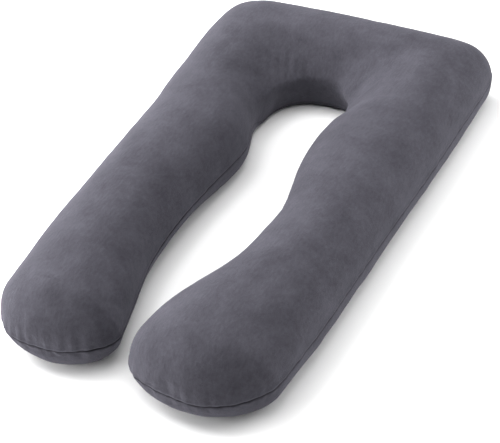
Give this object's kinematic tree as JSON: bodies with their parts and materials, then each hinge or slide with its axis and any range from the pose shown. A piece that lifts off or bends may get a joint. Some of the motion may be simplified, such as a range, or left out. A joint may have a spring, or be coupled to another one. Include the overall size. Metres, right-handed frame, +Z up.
{
  "type": "pregnancy pillow",
  "caption": "Filled U-shaped full-body pillow with a rounded head hole, a waisted gap between the legs and one plain seam round its edge.",
  "frame": {"origin": "on the floor, under the middle of the pillow's bounding box", "axes": "+Y along the length towards the closed head end, +X across, +Z up"},
  "size_m": [0.8356, 1.4488, 0.2186],
  "materials": {
    "velour": "short-pile grey velour, soft matt with a pale sheen at grazing angles"
  },
  "bodies": {
    "root": {"pillow": "velour"}
  },
  "joints": []
}
